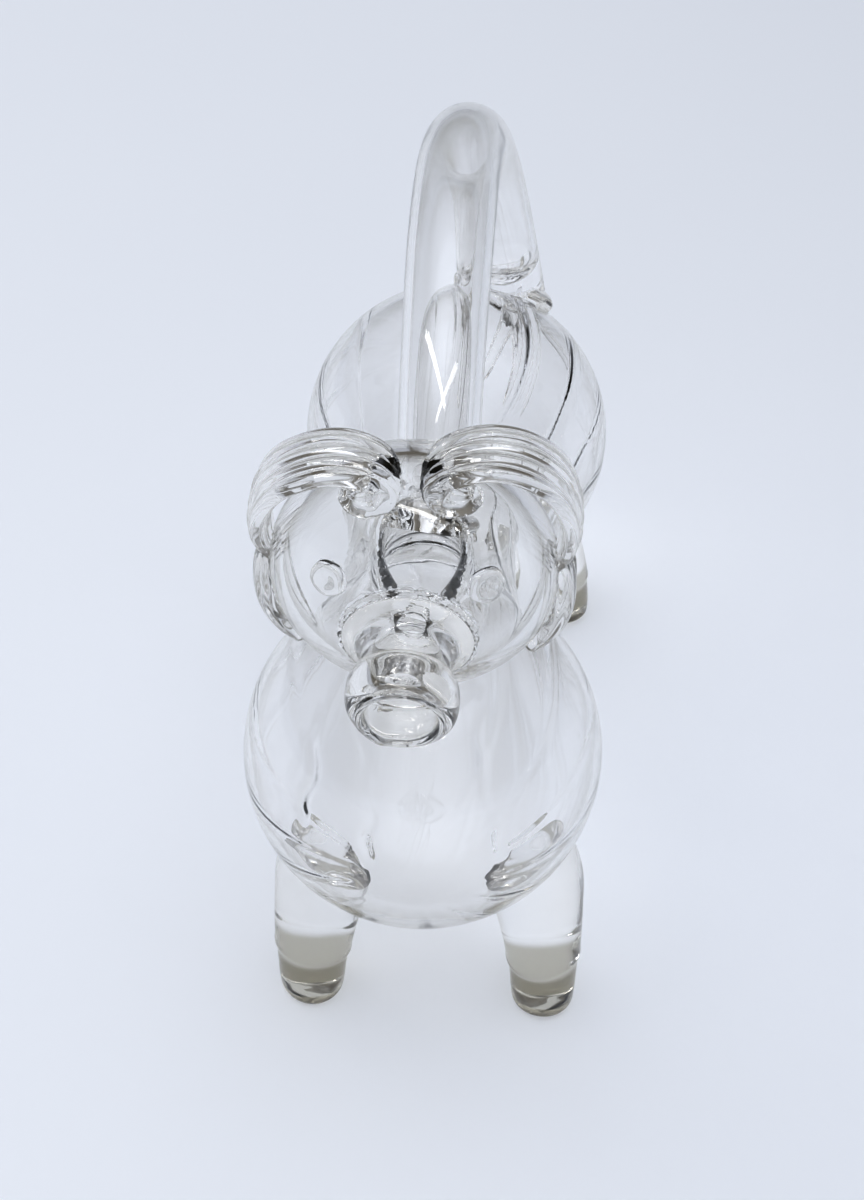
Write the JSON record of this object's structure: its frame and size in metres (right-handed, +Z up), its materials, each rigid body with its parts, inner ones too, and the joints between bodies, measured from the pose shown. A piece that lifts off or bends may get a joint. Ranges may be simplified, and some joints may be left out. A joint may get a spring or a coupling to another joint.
{
  "type": "ram-shaped glass decanter",
  "caption": "Hand-blown clear glass decanter shaped as a standing ram, with the muzzle as its mouth, curled horns and a tall arched handle from nape to rump.",
  "frame": {"origin": "middle of the underside of the whole object's box, at the height of the four soles", "axes": "+Z up, -Y the way the muzzle points, +X the animal's left"},
  "size_m": [0.1, 0.2788, 0.2215],
  "materials": {
    "clear_glass": "fire-polished, clear, thin-walled, with faint soft ribs from the mould",
    "thick_glass": "fire-polished, clear, solid, with a faint warm grey depth"
  },
  "bodies": {
    "root": {"body_bubble": "clear_glass", "head_bulb": "clear_glass", "muzzle_tube": "clear_glass", "mouth_collar": "thick_glass", "left_eye": "clear_glass", "right_eye": "clear_glass", "left_horn": "thick_glass", "right_horn": "thick_glass", "left_ear": "thick_glass", "right_ear": "thick_glass", "handle_tube": "clear_glass", "handle_front_pad": "thick_glass", "handle_rear_pad": "thick_glass", "tail": "thick_glass", "left_drip": "thick_glass", "right_drip": "thick_glass", "front_left_leg": "thick_glass", "front_right_leg": "thick_glass", "rear_left_leg": "thick_glass", "rear_right_leg": "thick_glass"}
  },
  "joints": []
}
